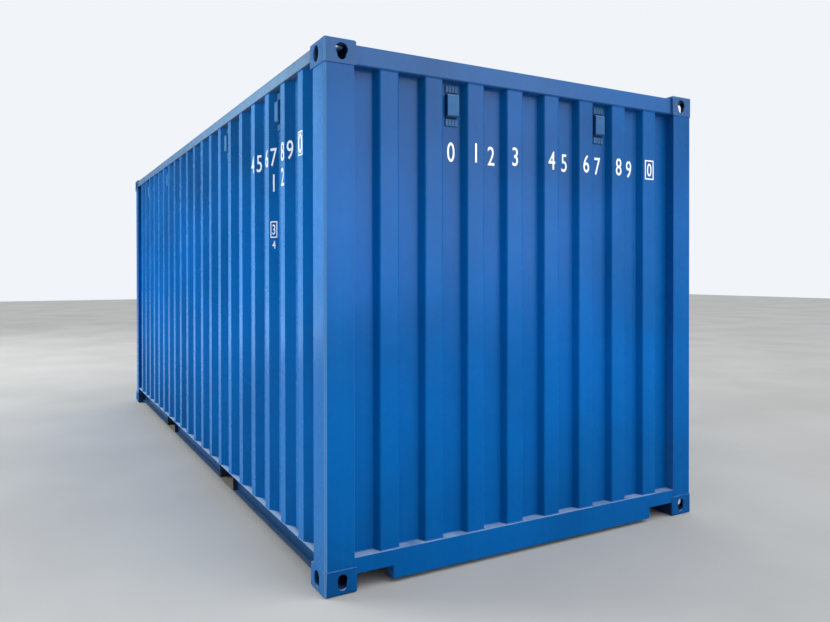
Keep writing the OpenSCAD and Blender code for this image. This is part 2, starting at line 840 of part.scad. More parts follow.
// A lock rod: a tube with a cam at each end and collars beside its end brackets
module lock_rods() {
    collar_away = bracket_tall / 2 + cam_gap;
    color(steel) for (place = rod_places) on_door(place[0], place[1], 0) translate([rod_out, 0, 0])
        difference() {
            union() {
                translate([0, 0, rod_low_z]) cylinder(h = rod_tall, r = rod_r, $fn = 48);
                for (z = [low_cam_z, high_cam_z])
                    translate([0, 0, z - cam_tall / 2]) linear_extrude(cam_tall) oblong(cam_deep, cam_wide);
                for (z = [bracket_rows[0], bracket_rows[3]], away = [-collar_away - collar_tall, collar_away])
                    translate([0, 0, z + away])
                        cylinder(h = collar_tall, r = rod_r + rod_stand / 2, $fn = 48);
            }
            translate([0, 0, rod_low_z - eps])
                cylinder(h = rod_tall + 2 * eps, r = rod_r - rod_wall, $fn = 48);
        }
}

// A keeper: a plate on the header or the sill, with two jaws that hook over the cam
module keeper() {
    room = cam_wide + 2 * cam_gap;
    wide = room + 2 * keeper_jaw;
    grip_x = rod_out + cam_deep / 2 + cam_gap;
    jaw_tall = (cam_tall + keeper_tall) / 2;
    union() {
        face_plate(wide, keeper_tall, keeper_plate);
        translate([0, 0, -jaw_tall / 2]) linear_extrude(jaw_tall) difference() {
            intersection() {
                translate([-gear_round, -wide / 2])
                    rounded(grip_x + keeper_jaw * 2 / 3 + gear_round, wide, gear_round);
                translate([0, -wide / 2]) square([width, wide]);
            }
            translate([keeper_plate, -room / 2]) square([grip_x - keeper_plate, room]);
            translate([keeper_plate, keeper_grip - room / 2]) square([width, room - 2 * keeper_grip]);
        }
    }
}

module rod_keepers() {
    color(steel) for (place = rod_places, z = [low_cam_z, high_cam_z])
        on_door(place[0], place[1], z) keeper();
}

// A guide of a rod: a strap bent round it, with an ear on the leaf at each side
module rod_bracket() {
    inner = rod_r + fit;
    outer = inner + bracket_strap;
    half = outer + bracket_ear;
    intersection() {
        translate([0, 0, -bracket_tall / 2]) linear_extrude(bracket_tall) difference() {
            union() {
                translate([rod_out, 0]) circle(outer, $fn = 48);
                translate([0, -outer]) square([rod_out, 2 * outer]);
                translate([0, -half]) square([bracket_strap, 2 * half]);
            }
            translate([rod_out, 0]) circle(inner, $fn = 48);
            translate([-eps, -inner]) square([rod_out + eps, 2 * inner]);
        }
        face_plate(2 * half, bracket_tall, rod_out + outer + eps);
    }
}

module rod_brackets() {
    color(steel) for (place = rod_places, z = bracket_rows)
        on_door(place[0], place[1], z) rod_bracket();
}

handle_row_z = crest_row_z(floor(door_crests / 2));

// A handle, drawn along +Y from its rod: a hub, a fork and a bar that narrows to its grip
module door_handle() {
    grip_r = handle_grip / 2;
    lug_r = handle_tall / 2;
    hub_r = rod_out - cam_gap;
    fork_thick = handle_bar + 2 * handle_cheek;
    difference() {
        union() {
            translate([rod_out, 0, -lug_r]) cylinder(h = handle_tall, r = hub_r, $fn = 48);
            along_x(rod_out - fork_thick / 2, rod_out + fork_thick / 2) union() {
                translate([0, -lug_r]) square([handle_fork - lug_r, handle_tall]);
                translate([handle_fork - lug_r, 0]) circle(lug_r, $fn = 32);
            }
            along_x(rod_out - handle_bar / 2, rod_out + handle_bar / 2) union() {
                polygon([[0, -lug_r], [handle_fork, -lug_r], [2 * handle_fork, -grip_r],
                         [handle_length - grip_r, -grip_r], [handle_length - grip_r, grip_r],
                         [2 * handle_fork, grip_r], [handle_fork, lug_r], [0, lug_r]]);
                translate([handle_length - grip_r, 0]) circle(grip_r, $fn = 32);
            }
        }
        translate([rod_out, 0, -handle_tall]) cylinder(h = 2 * handle_tall, r = rod_r + fit, $fn = 48);
    }
}

// The catch of a handle: a plate on the leaf, a hook under the bar and a latch over it
module handle_catch() {
    room = handle_grip / 2 + fit;
    lip = room / 4;
    bar_x = rod_out + handle_bar / 2 + fit;
    union() {
        face_plate(catch_wide, catch_tall, catch_sheet);
        along_y(-catch_wide / 2, catch_wide / 2)
            polygon([[0, -room - catch_sheet], [bar_x + catch_sheet, -room - catch_sheet],
                     [bar_x + catch_sheet, -lip], [bar_x, -lip], [bar_x, -room], [0, -room]]);
        along_y(-catch_latch / 2, catch_latch / 2)
            polygon([[0, room], [bar_x, room], [bar_x, lip], [bar_x + catch_sheet, lip],
                     [bar_x + catch_sheet, room + catch_sheet], [0, room + catch_sheet]]);
    }
}

// The inner rods' handles point outwards, the outer rods' inwards and lower
module door_handles() {
    color(steel) for (place = rod_places) {
        side = place[1] == inner_rod_y ? 1 : -1;
        on_door(place[0], place[1], handle_row_z + side * handle_spread / 2)
            mirror([0, side > 0 ? 1 : 0, 0]) union() {
                door_handle();
                translate([0, handle_length - catch_from_tip, 0]) handle_catch();
            }
    }
}

// Ventilators

// Section of a cover: a box with slanted edges, from its base plate outwards
module cover_side(deep, tall) {
    polygon([[-eps, -tall / 2], [deep - vent_slant, -tall / 2], [deep, vent_slant - tall / 2],
             [deep, tall / 2 - vent_slant], [deep - vent_slant, tall / 2], [-eps, tall / 2]]);
}

// A base plate with a grooved pad at each end and a cover that is open along its sides,
// drawn against X = 0 and facing +X
module ventilator(wide) {
    half = wide / 2 - vent_edge;
    pad_z = (vent_tall - vent_pad_tall) / 2;
    union() {
        translate([0, -wide / 2, -vent_tall / 2]) cube([vent_plate, wide, vent_tall]);
        for (z = [-pad_z, pad_z]) translate([vent_plate, 0, z - vent_pad_tall / 2]) difference() {
            translate([-vent_plate, -wide / 2, 0]) cube([vent_plate + vent_pad, wide, vent_pad_tall]);
            for (y = [-wide / 4, 0, wide / 4]) translate([vent_pad / 2, y - vent_groove / 2, -eps])
                cube([vent_pad, vent_groove, vent_pad_tall + 2 * eps]);
        }
        translate([vent_plate, 0, 0]) difference() {
            along_y(-half, half) cover_side(vent_deep - vent_plate, vent_cover_tall);
            along_y(vent_wall - half, half - vent_wall)
                cover_side(vent_deep - vent_plate - vent_wall, vent_cover_tall - 2 * vent_wall);
            along_y(-half - eps, half + eps)
                translate([-2 * eps, vent_wall - vent_cover_tall / 2])
                    square([vent_slit + 2 * eps, vent_cover_tall - 2 * vent_wall]);
        }
    }
}

vent_z = height - vent_drop;

module front_vents() {
    color(blue) for (y_side = [-1, 1])
        translate([half_l - front_crest_setback - front_deep, y_side * 2 * front_pitch, vent_z])
            ventilator(front_vent_wide);
}

module side_vents(y_side) {
    troughs = side_crests - 1;
    color(blue) on_side(y_side) for (i = [1, 5, troughs - 6, troughs - 2])
        translate([front_edge - side_first - (side_crest + side_pitch) / 2 - i * side_pitch,
                   -half_w + side_crest_setback + side_deep, vent_z + side_vent_rise])
            rotate([0, 0, -90]) ventilator(side_vent_wide);
}

casting(1, -1, -1);  // front_right_bottom_casting
casting(1, 1, -1);  // front_left_bottom_casting
casting(-1, -1, -1);  // rear_right_bottom_casting
casting(-1, 1, -1);  // rear_left_bottom_casting
casting(1, -1, 1);  // front_right_top_casting
casting(1, 1, 1);  // front_left_top_casting
casting(-1, -1, 1);  // rear_right_top_casting
casting(-1, 1, 1);  // rear_left_top_casting
front_post(-1);  // front_right_post
front_post(1);  // front_left_post
rear_post(-1);  // rear_right_post
rear_post(1);  // rear_left_post
front_header();
front_sill();
front_wall();
side_wall(-1);  // right_wall
side_wall(1);  // left_wall
top_rail_piece(-1);  // right_top_rail
top_rail_piece(1);  // left_top_rail
bottom_rail(-1);  // right_bottom_rail
bottom_rail(1);  // left_bottom_rail
fork_pocket(1);  // front_fork_pocket
fork_pocket(-1);  // rear_fork_pocket
cross_members();
floor_boards();  // floor
roof();
roof_corner_plates();
door_header();
door_sill();
door_frame(-1);  // right_door_frame
door_frame(1);  // left_door_frame
door_panel(-1);  // right_door_panel
door_panel(1);  // left_door_panel
door_gaskets();
hinges(-1);  // right_hinges
hinges(1);  // left_hinges
lock_rods();
rod_brackets();
rod_keepers();
door_handles();
front_vents();
side_vents(-1);  // right_vents
side_vents(1);  // left_vents
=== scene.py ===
import bpy, bmesh, math
from mathutils import Vector, Matrix


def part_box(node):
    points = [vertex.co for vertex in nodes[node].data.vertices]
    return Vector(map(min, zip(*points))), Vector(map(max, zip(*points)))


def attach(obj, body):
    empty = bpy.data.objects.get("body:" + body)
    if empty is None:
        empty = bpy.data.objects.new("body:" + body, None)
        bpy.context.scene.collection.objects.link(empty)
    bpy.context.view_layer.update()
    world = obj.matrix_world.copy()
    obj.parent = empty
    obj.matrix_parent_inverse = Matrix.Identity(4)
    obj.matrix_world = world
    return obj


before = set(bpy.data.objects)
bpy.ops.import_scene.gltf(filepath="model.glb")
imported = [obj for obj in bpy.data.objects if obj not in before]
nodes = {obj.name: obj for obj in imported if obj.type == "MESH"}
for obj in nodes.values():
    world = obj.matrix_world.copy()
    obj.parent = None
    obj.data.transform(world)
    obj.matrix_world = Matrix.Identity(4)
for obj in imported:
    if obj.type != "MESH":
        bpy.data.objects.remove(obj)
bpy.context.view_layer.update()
scene = bpy.context.scene
scene.view_settings.view_transform = "Standard"
MM = 0.001


# Camera, solved from the outer corners of the box, in pixels of an 830 x 622 frame

FRAME_WIDE, FRAME_TALL, SENSOR_MM = 830, 622, 36.0
FOCAL_PX, CENTRE_PX = 722.46, (432.86, 278.06)
YAW, PITCH, ROLL = 0.52237, -0.00578, -0.00091
EYE = Vector((6.14140, -2.43689, 1.49593))

cam_data = bpy.data.cameras.new("camera")
camera = bpy.data.objects.new("camera", cam_data)
scene.collection.objects.link(camera)
cam_data.sensor_fit = "HORIZONTAL"
cam_data.sensor_width = SENSOR_MM
cam_data.lens = FOCAL_PX / FRAME_WIDE * SENSOR_MM
cam_data.shift_x = (FRAME_WIDE / 2 - CENTRE_PX[0]) / FRAME_WIDE
cam_data.shift_y = (CENTRE_PX[1] - FRAME_TALL / 2) / FRAME_WIDE
cam_data.clip_end = 200
look = Vector((-math.cos(YAW) * math.cos(PITCH), math.sin(YAW) * math.cos(PITCH), math.sin(PITCH)))
turn = look.to_track_quat("-Z", "Y").to_matrix().to_4x4()
camera.matrix_world = Matrix.Translation(EYE) @ turn @ Matrix.Rotation(ROLL, 4, "Z")
scene.camera = camera


# Materials

class Shader:
    """A Principled material and short ways to add nodes to it."""

    def __init__(self, name, metal=0.0):
        self.material = bpy.data.materials.new(name)
        self.material.use_nodes = True
        self.tree = self.material.node_tree
        self.bsdf = self.tree.nodes["Principled BSDF"]
        self.bsdf.inputs["Metallic"].default_value = metal
        self.at = self.tree.nodes.new("ShaderNodeTexCoord").outputs["Object"]
        self.geo = self.tree.nodes.new("ShaderNodeNewGeometry")

    def put(self, socket, value):
        if hasattr(value, "is_output"):
            self.tree.links.new(value, socket)
        else:
            socket.default_value = value

    def scaled(self, sx, sy, sz):
        node = self.tree.nodes.new("ShaderNodeMapping")
        self.put(node.inputs["Vector"], self.at)
        node.inputs["Scale"].default_value = (sx, sy, sz)
        return node.outputs["Vector"]

    def noise(self, scale, detail=3.0, rough=0.55, vector=None, warp=0.0):
        node = self.tree.nodes.new("ShaderNodeTexNoise")
        self.put(node.inputs["Vector"], vector or self.at)
        node.inputs["Scale"].default_value = scale
        node.inputs["Detail"].default_value = detail
        node.inputs["Roughness"].default_value = rough
        node.inputs["Distortion"].default_value = warp
        return node.outputs["Fac"]

    def span(self, value, low, high, to_low=0.0, to_high=1.0):
        node = self.tree.nodes.new("ShaderNodeMapRange")
        node.interpolation_type = "SMOOTHSTEP"
        sockets = ("Value", "From Min", "From Max", "To Min", "To Max")
        for socket, v in zip(sockets, (value, low, high, to_low, to_high)):
            self.put(node.inputs[socket], v)
        return node.outputs["Result"]

    def math(self, how, a, b=0.0):
        node = self.tree.nodes.new("ShaderNodeMath")
        node.operation = how
        self.put(node.inputs[0], a)
        self.put(node.inputs[1], b)
        return node.outputs[0]

    def mix(self, factor, a, b):
        node = self.tree.nodes.new("ShaderNodeMix")
        node.data_type = "RGBA"
        self.put(node.inputs["Factor"], factor)
        self.put(node.inputs["A"], a)
        self.put(node.inputs["B"], b)
        return node.outputs["Result"]

    def axis(self, vector, name):
        node = self.tree.nodes.new("ShaderNodeSeparateXYZ")
        self.put(node.inputs[0], vector)
        return node.outputs[name]

    def edges(self, radius, low, high):
        """Mask of convex and concave edges within `radius`."""
        bevel = self.tree.nodes.new("ShaderNodeBevel")
        bevel.samples = 4
        bevel.inputs["Radius"].default_value = radius
        dot = self.tree.nodes.new("ShaderNodeVectorMath")
        dot.operation = "DOT_PRODUCT"
        self.put(dot.inputs[0], bevel.outputs[0])
        self.put(dot.inputs[1], self.geo.outputs["True Normal"])
        return self.span(dot.outputs["Value"], high, low)

    def bump(self, height, distance, strength=1.0, under=None):
        node = self.tree.nodes.new("ShaderNodeBump")
        node.inputs["Strength"].default_value = strength
        node.inputs["Distance"].default_value = distance
        self.put(node.inputs["Height"], height)
        if under:
            self.put(node.inputs["Normal"], under)
        return node.outputs[0]

    def finish(self, colour, rough, normal):
        self.put(self.bsdf.inputs["Base Color"], colour)
        self.put(self.bsdf.inputs["Roughness"], rough)
        self.put(self.bsdf.inputs["Normal"], normal)
        return self.material


def rgb(r, g, b):
    """Linear colour from sRGB bytes."""
    def lin(c):
        c /= 255
        return c / 12.92 if c <= 0.04045 else ((c + 0.055) / 1.055) ** 2.4
    return (lin(r), lin(g), lin(b), 1.0)


DUST_AND_SHEEN, SOIL, RUST = rgb(158, 182, 206), rgb(120, 112, 100), rgb(96, 52, 30)
DEEP_BLUE, PALE_BLUE = rgb(0, 76, 134), rgb(0, 102, 180)
RAIN_PALE, RAIN_DARK, MOTTLE = rgb(4, 128, 200), rgb(4, 38, 84), rgb(2, 64, 130)
LOW_REFLECTION_BLUE, SCUFF_AND_GLINT, CORNER_LIGHT = rgb(70, 140, 205), rgb(70, 134, 196), rgb(120, 170, 220)
INSIDE_SHADE_BLUE, RECESS_SHADE, CHALK_AND_SHEEN = rgb(34, 54, 90), rgb(0, 34, 66), rgb(150, 170, 190)
PAINT_GLOSS = 0.05
SOIL_SHARE = 0.006


def painted(name, deep=DEEP_BLUE, pale=PALE_BLUE, rough=0.26, cast=0.0, dust_and_sheen=0.75, streaks=0.5,
            wear_and_glint=0.12, bleach_and_sky_sheen=0.01, chalk_and_sheen=CHALK_AND_SHEEN, recess=None, corner=0.0):
    """Sprayed marine paint: uneven colour, rain streaks, dust on ledges, worn edges, and painted light:
    a paler middle height, painted sky reflection on ledges and the upper part, painted ground
    reflection low on the sides, painted highlights on edges, painted shade inside castings and in
    recesses.

    `bleach_and_sky_sheen` fades the upper part toward `chalk_and_sheen`, as chalked paint and painted sky
    reflection,
    `corner` lights the rounded upright edges, `cast` roughens a casting and paints shade inside it,
    and `recess` is the pair of Y values between which a channel gets painted shade. Heights are in
    metres above the ground.
    """
    s = Shader(name)
    s.bsdf.inputs["Specular IOR Level"].default_value = PAINT_GLOSS
    height = s.axis(s.at, "Z")
    up = s.axis(s.geo.outputs["Normal"], "Z")
    cloud = s.noise(1.1, 3, 0.5, warp=0.4)
    mottle = s.noise(26, 4, 0.6)
    rain = s.noise(1.0, 4, 0.62, vector=s.scaled(17, 17, 0.55))
    # random tone of the paint, and painted light that makes the middle height paler
    middle = s.math("MULTIPLY", s.span(height, 0.2, 1.1), s.span(height, 2.45, 1.5))
    tone_and_light = s.math("ADD", s.span(cloud, 0.3, 0.72, 0.0, 0.5), s.math("MULTIPLY", middle, 0.5))
    colour = s.mix(tone_and_light, deep, pale)
    # the upper part fades paler: chalked paint and painted sky reflection
    colour = s.mix(s.span(height, 0.6, 2.4, 0.0, bleach_and_sky_sheen), colour, chalk_and_sheen)
    colour = s.mix(s.span(rain, 0.5, 0.78, 0.0, 0.16 * streaks), colour, RAIN_PALE)
    colour = s.mix(s.span(rain, 0.42, 0.22, 0.0, 0.3 * streaks), colour, RAIN_DARK)
    colour = s.mix(s.span(mottle, 0.35, 0.75, 0.0, 0.10), colour, MOTTLE)
    # road dust thrown up on the lowest parts
    low = s.math("MULTIPLY", s.span(height, 0.55, 0.02), s.span(s.noise(5, 5, 0.65), 0.36, 0.72))
    colour = s.mix(s.math("MULTIPLY", low, SOIL_SHARE), colour, SOIL)
    # painted reflection of the pale ground on the lowest part of the flat side faces
    flat = s.span(s.math("ABSOLUTE", s.axis(s.geo.outputs["Normal"], "Y")), 0.93, 0.99)
    low_reflection = s.math("MULTIPLY", flat, s.span(height, 1.7, 0.2, 0.0, 0.3))
    colour = s.mix(low_reflection, colour, LOW_REFLECTION_BLUE)
    # dust on ledges, with painted sky reflection on the upward faces
    settled_and_sheen = s.math("MULTIPLY", s.span(up, 0.55, 0.95),
                     s.span(s.noise(9, 5, 0.7), 0.25, 0.62, 0.45, 1.0))
    settled_and_sheen = s.math("MULTIPLY", settled_and_sheen, dust_and_sheen)
    colour = s.mix(settled_and_sheen, colour, DUST_AND_SHEEN)
    # scuffed edges, lightened as a painted highlight, and small chips with rust in them
    edge = s.edges(0.004, 0.80, 0.985)
    scuff_and_glint = s.math("MULTIPLY", edge, s.span(s.noise(34, 5, 0.7), 0.42, 0.66))
    colour = s.mix(s.math("MULTIPLY", scuff_and_glint, wear_and_glint), colour, SCUFF_AND_GLINT)
    chip = s.math("MULTIPLY", s.span(s.noise(58, 3, 0.6), 0.70, 0.745),
                  s.math("MAXIMUM", edge, s.span(s.noise(2.3, 2, 0.5), 0.62, 0.70)))
    colour = s.mix(s.math("MULTIPLY", chip, wear_and_glint * 0.6), colour, RUST)
    if cast:
        # painted shade inside the casting
        colour = s.mix(inside_shade(s), colour, INSIDE_SHADE_BLUE)
    if corner:
        # the rounded corner edge catches the light
        facing = [s.math("ABSOLUTE", s.axis(s.geo.outputs["Normal"], n)) for n in "XY"]
        turned = s.span(s.math("MULTIPLY", *facing), 0.10, 0.35)
        colour = s.mix(s.math("MULTIPLY", turned, corner), colour, CORNER_LIGHT)
    if recess:
        # painted shade on the recessed web, under the rail's flange
        across = s.math("ABSOLUTE", s.axis(s.at, "Y"))
        colour = s.mix(s.span(across, recess[1], recess[0], 0.0, 0.8), colour, RECESS_SHADE)
    shine = s.math("ADD", s.span(s.noise(7, 4, 0.6), 0.3, 0.75, rough - 0.02, rough + 0.04),
                   s.math("MULTIPLY", s.math("MAXIMUM", settled_and_sheen, s.math("MULTIPLY", chip, wear_and_glint)), 0.5))
    normal = s.bump(s.noise(3.2, 2, 0.5), 0.0005, 0.2)
    normal = s.bump(s.noise(420, 2, 0.5), 0.0001, 0.05, normal)
    if cast:
        normal = s.bump(s.noise(170, 5, 0.65), 0.0016, cast, normal)
    return s.finish(colour, shine, normal)


def inside_shade(s):
    """Mask of the surfaces inside the corner castings, which get painted shade."""
    x, y = (s.math("ABSOLUTE", s.axis(s.at, n)) for n in "XY")
    z = s.math("ABSOLUTE", s.math("SUBTRACT", s.axis(s.at, "Z"), CASTING_MIDDLE_Z))
    skin, blur = 9 * MM, 2 * MM
    floor_z = CASTING_MIDDLE_Z - (CASTING_HIGH.z - CASTING_LOW.z) + skin
    inside = s.span(x, CASTING_HIGH.x - skin, CASTING_HIGH.x - skin - blur)
    for value, limit in ((y, CASTING_HIGH.y - skin), (z, CASTING_MIDDLE_Z - skin)):
        inside = s.math("MULTIPLY", inside, s.span(value, limit, limit - blur))
    return s.math("MULTIPLY", inside, s.span(z, floor_z, floor_z + blur))


CASTING_LOW, CASTING_HIGH = (Vector(c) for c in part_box("front_left_top_casting"))
CASTING_MIDDLE_Z = CASTING_HIGH.z / 2
web_y, lip_y = (-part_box("right_bottom_rail")[0][1] - d for d in (50 * MM, 14 * MM))
blue = painted("blue_paint")
rail_blue = painted("rail_paint", rgb(6, 70, 112), rgb(16, 92, 146), dust_and_sheen=1.0, bleach_and_sky_sheen=0.3,
                    chalk_and_sheen=rgb(158, 166, 168))
header_blue = painted("header_paint", bleach_and_sky_sheen=0.08)
low_rail_blue = painted("low_rail_paint", rgb(0, 70, 126), rgb(0, 96, 170), dust_and_sheen=1.3,
                        recess=(web_y, lip_y))
casting_blue = painted("casting_paint", rgb(0, 70, 124), rgb(0, 94, 166), rough=0.34, cast=0.35,
                       wear_and_glint=0.8, bleach_and_sky_sheen=0.12, corner=0.5)
roof_blue = painted("roof_paint", rgb(0, 86, 152), rgb(40, 116, 176), rough=0.42, dust_and_sheen=0.55,
                    streaks=0.3, wear_and_glint=0.3)
post_blue = painted("post_paint", wear_and_glint=0.25, corner=0.5)


def dressed_vent(name, axis, wall):
    """Moulded ventilator, painted over. `out` is the distance from the wall: the base plate
    lies lowest and gets painted shade, then the slotted pads, then the cover."""
    s = Shader(name)
    s.bsdf.inputs["Specular IOR Level"].default_value = PAINT_GLOSS
    cloud = s.noise(14, 4, 0.6)
    out = s.math("SUBTRACT", s.math("ABSOLUTE", s.axis(s.at, axis)), wall)
    colour = s.mix(s.span(cloud, 0.3, 0.7), rgb(38, 94, 142), rgb(62, 108, 156))
    colour = s.mix(s.span(out, 7 * MM, 9.5 * MM), rgb(58, 104, 150), colour)
    # painted shade on the base plate, in the gaps round the pads and the cover
    colour = s.mix(s.span(out, 6.5 * MM, 4 * MM), colour, rgb(0, 30, 66))
    up = s.axis(s.geo.outputs["Normal"], "Z")
    # dust and painted sky reflection on the upward faces
    colour = s.mix(s.span(up, 0.5, 0.95, 0.0, 0.6), colour, DUST_AND_SHEEN)
    # painted highlight on the edges
    edge = s.edges(0.002, 0.8, 0.985)
    colour = s.mix(s.math("MULTIPLY", edge, 0.3), colour, rgb(70, 140, 200))
    normal = s.bump(s.noise(300, 3, 0.6), 0.0004, 0.4)
    return s.finish(colour, s.span(cloud, 0.3, 0.7, 0.36, 0.5), normal)


def underside():
    s = Shader("underside_paint")
    cloud = s.noise(3.0, 5, 0.65, warp=0.6)
    # a dark underside coat, near black so that it also gives the fork pockets painted shade
    colour = s.mix(s.span(cloud, 0.3, 0.7), rgb(4, 18, 36), rgb(12, 34, 60))
    up = s.axis(s.geo.outputs["Normal"], "Z")
    colour = s.mix(s.span(up, 0.4, 0.9, 0.0, 0.85), colour, rgb(150, 142, 126))
    colour = s.mix(s.span(s.noise(15, 5, 0.7), 0.55, 0.75, 0.0, 0.5), colour, SOIL)
    colour = s.mix(s.span(s.noise(30, 4, 0.7), 0.68, 0.74, 0.0, 0.8), colour, RUST)
    normal = s.bump(s.noise(45, 5, 0.6), 0.0015, 0.4)
    return s.finish(colour, s.span(cloud, 0.3, 0.7, 0.45, 0.7), normal)


def plywood():
    s = Shader("floor_plywood")
    grain = s.noise(1.0, 6, 0.6, vector=s.scaled(1.6, 60, 60), warp=0.8)
    colour = s.mix(s.span(grain, 0.3, 0.72), rgb(112, 78, 52), rgb(164, 122, 84))
    colour = s.mix(s.span(s.noise(2.0, 4, 0.6), 0.5, 0.8, 0.0, 0.5), colour, rgb(84, 66, 52))
    scratch = s.noise(1.0, 2, 0.5, vector=s.scaled(2.0, 130, 1))
    colour = s.mix(s.span(scratch, 0.68, 0.72, 0.0, 0.4), colour, rgb(196, 172, 140))
    return s.finish(colour, s.span(grain, 0.3, 0.7, 0.55, 0.75), s.bump(grain, 0.0008, 0.5))


def rubber():
    s = Shader("door_rubber")
    cloud = s.noise(20, 4, 0.6)
    colour = s.mix(s.span(cloud, 0.35, 0.75), rgb(22, 22, 24), rgb(52, 52, 52))
    rub = s.noise(1.0, 3, 0.5, vector=s.scaled(90, 90, 5))
    return s.finish(colour, s.span(cloud, 0.3, 0.7, 0.6, 0.8), s.bump(rub, 0.0006, 0.5))


def zinc():
    s = Shader("zinc_steel", metal=0.85)
    cell = s.tree.nodes.new("ShaderNodeTexVoronoi")
    s.put(cell.inputs["Vector"], s.at)
    cell.inputs["Scale"].default_value = 210
    flake = s.axis(cell.outputs["Color"], "X")
    cloud = s.noise(6, 4, 0.6)
    colour = s.mix(s.span(flake, 0.1, 0.9), rgb(146, 151, 155), rgb(176, 180, 184))
    colour = s.mix(s.span(cloud, 0.45, 0.75, 0.0, 0.45), colour, rgb(104, 106, 106))
    rain = s.noise(1.0, 4, 0.6, vector=s.scaled(40, 40, 2.5))
    colour = s.mix(s.span(rain, 0.62, 0.74, 0.0, 0.65), colour, rgb(120, 82, 54))
    # painted highlight on the edges
    edge = s.edges(0.002, 0.8, 0.985)
    colour = s.mix(s.math("MULTIPLY", edge, 0.35), colour, rgb(206, 208, 210))
    normal = s.bump(s.noise(150, 3, 0.6), 0.0005, 0.35)
    return s.finish(colour, s.span(cloud, 0.3, 0.7, 0.38, 0.58), normal)


def weld_paint():
    s = Shader("weld_paint")
    s.bsdf.inputs["Specular IOR Level"].default_value = PAINT_GLOSS
    cloud = s.noise(30, 4, 0.6)
    colour = s.mix(s.span(cloud, 0.3, 0.7), rgb(6, 70, 138), rgb(40, 104, 168))
    ripple = s.noise(260, 2, 0.5)
    up = s.axis(s.geo.outputs["Normal"], "Z")
    # dust and painted sky reflection on the upward faces
    colour = s.mix(s.span(up, 0.5, 0.95, 0.0, 0.2), colour, DUST_AND_SHEEN)
    return s.finish(colour, s.span(cloud, 0.3, 0.7, 0.3, 0.45), s.bump(ripple, 0.0009, 0.7))


def white_vinyl():
    s = Shader("white_marking")
    cloud = s.noise(11, 5, 0.65)
    colour = s.mix(s.span(cloud, 0.35, 0.75), rgb(246, 250, 252), rgb(232, 240, 246))
    rain = s.noise(1.0, 4, 0.6, vector=s.scaled(60, 60, 6))
    colour = s.mix(s.span(rain, 0.6, 0.8, 0.0, 0.3), colour, rgb(150, 170, 196))
    normal = s.bump(s.noise(90, 3, 0.5), 0.0002, 0.3)
    return s.finish(colour, s.span(cloud, 0.3, 0.7, 0.35, 0.5), normal)


front_vent_paint = dressed_vent("front_vent_plastic", "X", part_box("front_vents")[0][0])
side_vent_paint = dressed_vent("side_vent_plastic", "Y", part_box("left_vents")[0][1])
dark_coat_and_shade, wood, seal, steel = underside(), plywood(), rubber(), zinc()
weld_blue, white = weld_paint(), white_vinyl()


# Dressing the CAD nodes

SHARP_ANGLE, BEVEL_ANGLE = math.radians(24), math.radians(34)


def shading_group():
    """Smooth shading, with the bends of the sheets kept sharp."""
    group = bpy.data.node_groups.new("soft_shading", "GeometryNodeTree")
    group.interface.new_socket("Geometry", in_out="INPUT", socket_type="NodeSocketGeometry")
    group.interface.new_socket("Geometry", in_out="OUTPUT", socket_type="NodeSocketGeometry")
    start = group.nodes.new("NodeGroupInput")
    end = group.nodes.new("NodeGroupOutput")
    faces = group.nodes.new("GeometryNodeSetShadeSmooth")
    sharp = group.nodes.new("GeometryNodeSetShadeSmooth")
    faces.domain, sharp.domain = "FACE", "EDGE"
    faces.inputs["Shade Smooth"].default_value = True
    sharp.inputs["Shade Smooth"].default_value = False
    angle = group.nodes.new("GeometryNodeInputMeshEdgeAngle")
    over = group.nodes.new("ShaderNodeMath")
    over.operation = "GREATER_THAN"
    over.inputs[1].default_value = SHARP_ANGLE
    group.links.new(angle.outputs["Unsigned Angle"], over.inputs[0])
    group.links.new(start.outputs[0], faces.inputs["Geometry"])
    group.links.new(faces.outputs[0], sharp.inputs["Geometry"])
    group.links.new(over.outputs[0], sharp.inputs["Selection"])
    group.links.new(sharp.outputs[0], end.inputs[0])
    return group


SOFT = shading_group()


def soften(obj, width):
    """Edges rounded by `width` millimetres and smooth shading, as modifiers."""
    weld = obj.modifiers.new("weld", "WELD")
    weld.merge_threshold = 0.02 * MM
    if width:
        bevel = obj.modifiers.new("edges", "BEVEL")
        bevel.width = width * MM
        bevel.segments = 2
        bevel.limit_method = "ANGLE"
        bevel.angle_limit = BEVEL_ANGLE
        bevel.use_clamp_overlap = True
        bevel.miter_outer = "MITER_ARC"
    soft = obj.modifiers.new("soft", "NODES")
    soft.node_group = SOFT
    even = obj.modifiers.new("even", "WEIGHTED_NORMAL")
    even.keep_sharp = True


# The end of a node's name: its material, and the rounding of its edges in millimetres
FINISHES = {
    "casting": (casting_blue, 2.5), "post": (post_blue, 1.5), "header": (header_blue, 1.5),
    "sill": (blue, 1.5), "wall": (blue, 0), "top_rail": (rail_blue, 0),
    "bottom_rail": (low_rail_blue, 1.2), "fork_pocket": (dark_coat_and_shade, 1.2),
    "cross_members": (dark_coat_and_shade, 1.5), "floor": (wood, 1.5), "roof": (roof_blue, 0),
    "roof_corner_plates": (roof_blue, 1.0), "door_frame": (blue, 2.5), "door_panel": (blue, 0),
    "door_gaskets": (seal, 1.0), "hinges": (steel, 2.0), "lock_rods": (steel, 2.0),
    "rod_brackets": (steel, 2.0), "rod_keepers": (steel, 2.0), "door_handles": (steel, 2.5),
    "front_vents": (front_vent_paint, 1.0), "vents": (side_vent_paint, 1.0)}
for name, obj in nodes.items():
    key = max((k for k in FINISHES if name.endswith(k)), key=len)
    material, width = FINISHES[key]
    obj.data.materials.clear()
    obj.data.materials.append(material)
    soften(obj, width)


# Pieces of this script

def place(name, mesh, material, slot):
    obj = bpy.data.objects.new(name, mesh)
    scene.collection.objects.link(obj)
    mesh.materials.append(material)
    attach(obj, "root")
    return obj


def circle(centre, radius, side, over, sides):
    """Points round a centre, in the plane of the two directions."""
    turns = (2 * math.pi * k / sides for k in range(sides))
    return [centre + radius * (math.cos(a) * side + math.sin(a) * over) for a in turns]


